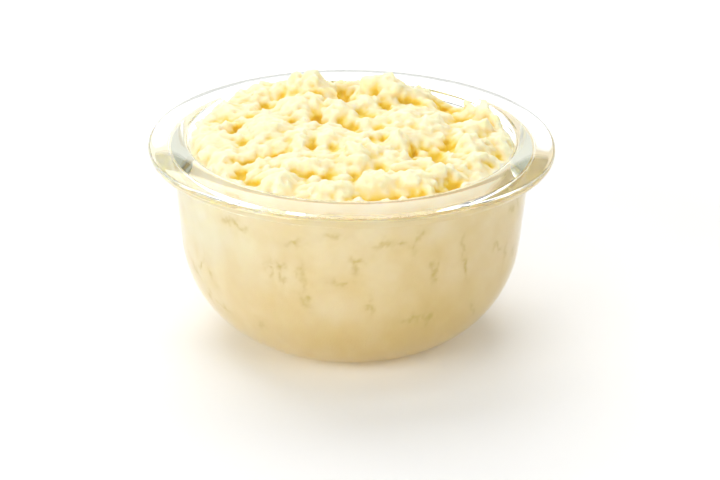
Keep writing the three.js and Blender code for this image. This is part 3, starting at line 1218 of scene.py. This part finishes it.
    @staticmethod
    def vertex_normals(points: np.ndarray, quads: np.ndarray) -> np.ndarray:
        """Works out the unit normals, each the sum of the cross products of its quads' diagonals.

        Args:
            points: Vertices.
            quads: Their quads.

        Returns:
            One unit vector for each vertex.
        """
        cross = np.cross(points[quads[:, 2]] - points[quads[:, 0]], points[quads[:, 3]] - points[quads[:, 1]])
        normal = np.stack([np.bincount(quads.ravel(), np.repeat(cross[:, i], 4), len(points)) for i in range(3)], -1)
        return normal / np.maximum(np.linalg.norm(normal, axis=-1, keepdims=True), 1e-9)

    def build(self) -> bpy.types.Object:
        """Builds the mash as one closed skin over the core and the crumbs.

        Formula: core and crumbs are fused on a fine lattice, evened out a little, roughened along the
        normals by two sizes of noise away from the glass, and pressed back inside the glass.

        Returns:
            The mash's object, with the attributes depth_shade_and_tone and air_pocket_shade, which carry painted
            shade.
        """
        parts = [self.core()] + [self.strewn(kind) for kind in self.crumbs]
        points, quads = self.fused(parts)
        points = self.neighbour_mean(points, quads, 1)
        normal = self.vertex_normals(points, quads)
        wall = self.bowl.inside_radius(np.clip(points[:, 2], self.bowl.hollow_wall_start, self.bowl.height))
        from_wall = wall - np.hypot(points[:, 0], points[:, 1])
        below = [self.level - drop for drop in self.packed_below]
        free = smooth_step(*self.free_from_wall, from_wall) * smooth_step(*below, points[:, 2])
        rough = self.broken(points[:, 0], points[:, 1])
        for cell, height, seed in self.grain:
            points += (height * rough * free * soft_noise(points, cell, seed, octaves=2))[:, None] * normal
        points = self.keep_inside(points)
        piece = mesh_piece("mashed_potato_heap", points, [quads])
        angle = np.arctan2(points[:, 1], points[:, 0])
        # Painted shade by depth on the heap; behind the glass, random tone with painted shade.
        depth = self.depth_shade_and_tone(points, quads) * free + self.packed_tone_and_shade(points, angle) * (1.0 - free)
        # Painted shade where air is trapped behind the glass.
        pocket = self.air.share(angle, points[:, 2]) * (1.0 - free)
        for name, values in (("depth_shade_and_tone", depth), ("air_pocket_shade", pocket)):
            attribute = piece.data.attributes.new(name, "FLOAT", "POINT")
            attribute.data.foreach_set("value", values.astype(np.float32))
        return piece

    def depth_shade_and_tone(self, points: np.ndarray, quads: np.ndarray) -> np.ndarray:
        """Works out how deep each vertex lies among its neighbours, from CREST_DEPTH to 1 in pits.

        Formula: a constant, plus how far the skin stands in from itself evened out a little, plus how
        far that stands in from itself evened out much, plus the share of the pit that it lies in, each
        by its weight. The colour ramp turns the result into painted shade, deeper the deeper the vertex lies.

        Args:
            points: Vertices of the skin.
            quads: Its quads.

        Returns:
            One number for each vertex.
        """
        fine = self.neighbour_mean(points, quads, self.even_rounds[0])
        coarse = self.neighbour_mean(fine, quads, self.even_rounds[1])
        near = ((fine - points) * self.vertex_normals(fine, quads)).sum(axis=-1)
        far = ((coarse - fine) * self.vertex_normals(coarse, quads)).sum(axis=-1)
        holes = self.hollow_shade_share(points[:, 0], points[:, 1])
        mean, by_near, by_far, by_hole = self.shade_weights
        deep = np.clip(mean + by_near * near + by_far * far + by_hole * holes, 0.0, 1.0)
        return CREST_DEPTH + (1.0 - CREST_DEPTH) * deep

    def packed_tone_and_shade(self, points: np.ndarray, angle: np.ndarray) -> np.ndarray:
        """Works out the tone of the mash behind the glass, from 0 where darkest to PACKED_DEPTH where palest.

        Formula: a constant plus noise, less towards the bottom, and less on one side than on the other.
        The noise is tone that differs at random; the fall towards the bottom and on the front right is
        painted shade.

        Args:
            points: Vertices of the skin.
            angle: Their angles round the axis.

        Returns:
            One number for each vertex.
        """
        round_it = np.stack([np.cos(angle), np.sin(angle)], axis=-1) * self.loose_cylinder
        sheet = np.concatenate([round_it, points[:, 2:]], axis=-1)
        paler = self.loose + self.loose_patches * soft_noise(sheet, self.loose_patch_mm, self.loose_seed, octaves=3)
        # Painted shade: darker towards the bottom and on the front right side.
        paler -= self.bottom_shade * smooth_step(*self.bottom_shade_heights, points[:, 2])
        paler -= self.side_shade * np.cos(angle - math.radians(self.side_shade_angle))
        return PACKED_DEPTH * np.clip(paler, 0.0, 1.0)

    def keep_inside(self, points: np.ndarray) -> np.ndarray:
        """Pulls points in where they would stand deeper in the glass than the mash reaches.

        Formula: a point is drawn to the axis by the largest radius at its height over its own radius.

        Args:
            points: Vertices of the skin.

        Returns:
            The vertices after that.
        """
        low = points[:, 2] < self.bowl.hollow_wall_start
        height = np.clip(points[:, 2], self.bowl.hollow_wall_start, self.bowl.height)
        limit = self.bowl.inside_radius(height) + self.reach_into_glass
        radius = np.hypot(points[:, 0], points[:, 1])
        free = low | (points[:, 2] > self.bowl.height + self.above_rim)
        scale = np.where(free, 1.0, np.minimum(1.0, limit / np.maximum(radius, 1e-6)))
        return points * np.stack([scale, scale, np.ones_like(scale)], axis=-1)

    def side_rows(self, angle: np.ndarray, edge: np.ndarray) -> np.ndarray:
        """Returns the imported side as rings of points, from just below the heap's edge to near the axis.

        Formula: each ring has one share of the way down the wall, round the corner or over the floor.
        The radius is the inside radius of the glass plus the reach, less the pockets.

        Args:
            angle: Angles of the columns.
            edge: Height of the heap's edge at each column.

        Returns:
            An array of rows by columns by three.
        """
        bowl = self.bowl
        share = (np.arange(1, self.wall_rows + 1) / self.wall_rows)[:, None]
        wall_z = edge + (bowl.hollow_wall_start - edge) * share
        inset = self.pocket_depth * self.air.share(angle[None, :] + 0.0 * wall_z, wall_z)
        inset *= smooth_step(0.0, self.pocket_fade, share)
        wall_r = bowl.inside_radius(wall_z) + self.reach_into_glass - inset
        turn = np.radians(np.linspace(90.0 - bowl.wall_lean, 0.0, self.round_rows + 1)[1:])[:, None]
        centre_r, centre_z = bowl.hollow_centre
        arc_z = centre_z - bowl.hollow_radius * np.cos(turn) + 0.0 * angle[None, :]
        inset = self.pocket_depth * self.air.share(angle[None, :] + 0.0 * arc_z, arc_z)
        reach = bowl.hollow_radius + self.reach_into_glass - inset
        round_r = centre_r + reach * np.sin(turn)
        round_z = centre_z - reach * np.cos(turn)
        inward = (1.0 - np.arange(1, self.floor_rows + 1) / (self.floor_rows + 1))[:, None]
        floor_r = centre_r * inward + 0.0 * angle[None, :]
        floor_z = np.full_like(floor_r, bowl.floor - self.reach_into_glass)
        radius = np.concatenate([wall_r, round_r, floor_r])
        height = np.concatenate([wall_z, round_z, floor_z])
        return np.stack([radius * np.cos(angle), radius * np.sin(angle), height], axis=-1)

    def dress(self, piece: bpy.types.Object) -> None:
        """Gives the mash its finish and its place in the frame.

        Args:
            piece: The mash's object.
        """
        piece.data.materials.append(MashedPotato().make())
        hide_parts(Node.MASH.value)
        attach(piece, "root")


# ---------------------------------------------------------------- the studio


@dataclass(frozen=True)
class Lamp:
    """One soft light that looks at the bowl: its place, width and height in metres, and its radiance.

    It is made of sheets of slightly different size, so that its edge fades out. They stand a little
    apart, because sheets in one plane would hide each other.
    """

    name: str
    place: tuple[float, float, float]
    width: float
    height: float
    radiance: float
    aim: tuple[float, float, float] = (0.0, 0.0, 0.03)
    margins: tuple[float, ...] = (-0.02, 0.0, 0.02)
    apart: float = 0.004

    def build(self) -> None:
        """Adds the light's sheets, each with its share of pi times area times radiance as its power."""
        towards = Vector(self.aim) - Vector(self.place)
        turn = towards.to_track_quat("-Z", "Y").to_matrix().to_4x4()
        for step, margin in enumerate(self.margins):
            light = bpy.data.lights.new(f"{self.name}_{step}", "AREA")
            light.shape = "RECTANGLE"
            light.size = self.width + margin
            light.size_y = self.height + margin
            light.energy = self.radiance / len(self.margins) * math.pi * light.size * light.size_y
            holder = bpy.data.objects.new(light.name, light)
            bpy.context.scene.collection.objects.link(holder)
            holder.matrix_world = Matrix.Translation(Vector(self.place) + towards * self.apart * step) @ turn


LAMPS = (
    Lamp("overhead_softbox", (-0.18, 0.50, 0.88), 1.00, 1.00, 2.75),
    Lamp("back_strip", (0.0, 0.90, 0.313), 1.80, 0.274, 2.3),
    Lamp("front_card", (0.0, -1.15, 0.47), 0.90, 0.62, 0.9),
    Lamp("front_softbox", (0.10, -0.75, 0.80), 0.80, 0.50, 1.0),
    Lamp("left_softbox", (-0.82, -0.76, 0.42), 0.70, 0.70, 4.9),
    Lamp("right_card", (0.85, -0.55, 0.52), 0.60, 0.60, 2.9),
)


@dataclass
class Studio:
    """A pale floor, a dim room and the lamps. The floor's size is in metres.

    Light passes many walls of the bowl before it leaves, so it may bounce often. The floor lies a
    hair's breadth below the foot, so that the two never share a plane.
    """

    floor_size: float = 6.0
    floor_mm: float = -0.02
    floor_colour: str = "#f7f7f6"
    floor_roughness: float = 0.9
    room_colour: str = "#ffffff"
    room_light: float = 0.18
    glass_bounces: int = 32
    matt_bounces: int = 12

    def build(self) -> None:
        """Sets the light's bounces and builds the floor, the room's light and the lamps."""
        scene = bpy.context.scene
        scene.view_settings.view_transform = "Standard"
        scene.cycles.max_bounces = self.glass_bounces
        scene.cycles.diffuse_bounces = self.matt_bounces
        scene.cycles.glossy_bounces = self.glass_bounces
        scene.cycles.transmission_bounces = self.glass_bounces
        scene.cycles.blur_glossy = 0.0
        self.build_floor()
        self.build_room()
        for lamp in LAMPS:
            lamp.build()

    def build_floor(self) -> None:
        """Builds the floor, a sheet of matt white board."""
        half, low = self.floor_size / 2.0 / MM, self.floor_mm
        corners = np.array([[-half, -half, low], [half, -half, low], [half, half, low], [-half, half, low]])
        floor = mesh_piece("studio_floor", corners, [np.array([[0, 1, 2, 3]])], smooth=False)
        material, tree, output = new_material("matt_white_board")
        colour = linear(self.floor_colour)
        board = add_node(tree, "ShaderNodeBsdfPrincipled", Base_Color=colour, Roughness=self.floor_roughness)
        tree.links.new(board.outputs[0], output.inputs["Surface"])
        floor.data.materials.append(material)

    def build_room(self) -> None:
        """Builds the even, dim light of the room."""
        world = bpy.data.worlds.new("dim_room")
        world.use_nodes = True
        tree = world.node_tree
        tree.nodes.clear()
        room = add_node(tree, "ShaderNodeBackground", Color=linear(self.room_colour), Strength=self.room_light)
        output = tree.nodes.new("ShaderNodeOutputWorld")
        tree.links.new(room.outputs[0], output.inputs["Surface"])
        bpy.context.scene.world = world


@dataclass
class ProductCamera:
    """A long lens, a metre away and a little above the rim. Lengths are millimetres, but for clip_start."""

    target: tuple[float, float, float] = (2.278, 0.0, 22.72)
    distance: float = 1000.0
    elevation: float = 23.257
    roll: float = 0.651
    lens_mm: float = 201.58
    sensor_mm: float = 36.0
    clip_start: float = 0.01

    def build(self) -> None:
        """Places the camera in front, at azimuth 0, and makes it the scene's camera.

        Formula: it stands back from the target by its distance at its elevation, and its right and up
        directions are turned about that line by the roll.
        """
        camera = bpy.data.cameras.new("product_camera")
        camera.lens = self.lens_mm
        camera.sensor_width = self.sensor_mm
        camera.sensor_fit = "HORIZONTAL"
        camera.clip_start = self.clip_start
        holder = bpy.data.objects.new("product_camera", camera)
        bpy.context.scene.collection.objects.link(holder)
        tilt = math.radians(self.elevation)
        back = Vector((0.0, -math.cos(tilt), math.sin(tilt)))
        right, up = Vector((1.0, 0.0, 0.0)), Vector((0.0, math.sin(tilt), math.cos(tilt)))
        c, s = math.cos(math.radians(self.roll)), math.sin(math.radians(self.roll))
        axes = Matrix((right * c + up * s, up * c - right * s, back)).transposed().to_4x4()
        place = (Vector(self.target) + back * self.distance) * MM
        holder.matrix_world = Matrix.Translation(place) @ axes
        bpy.context.scene.camera = holder


def main() -> None:
    """Builds the studio, the bowl and the mash in order."""
    logging.basicConfig(level=logging.INFO, format="%(name)s: %(message)s")
    ProductCamera().build()
    Studio().build()
    bowl = GlassBowl()
    for part in (bowl, MashHeap(bowl)):
        piece = part.build()
        part.dress(piece)
        log.info("%s: %d faces", piece.name, len(piece.data.polygons))


if __name__ == "__main__":
    main()
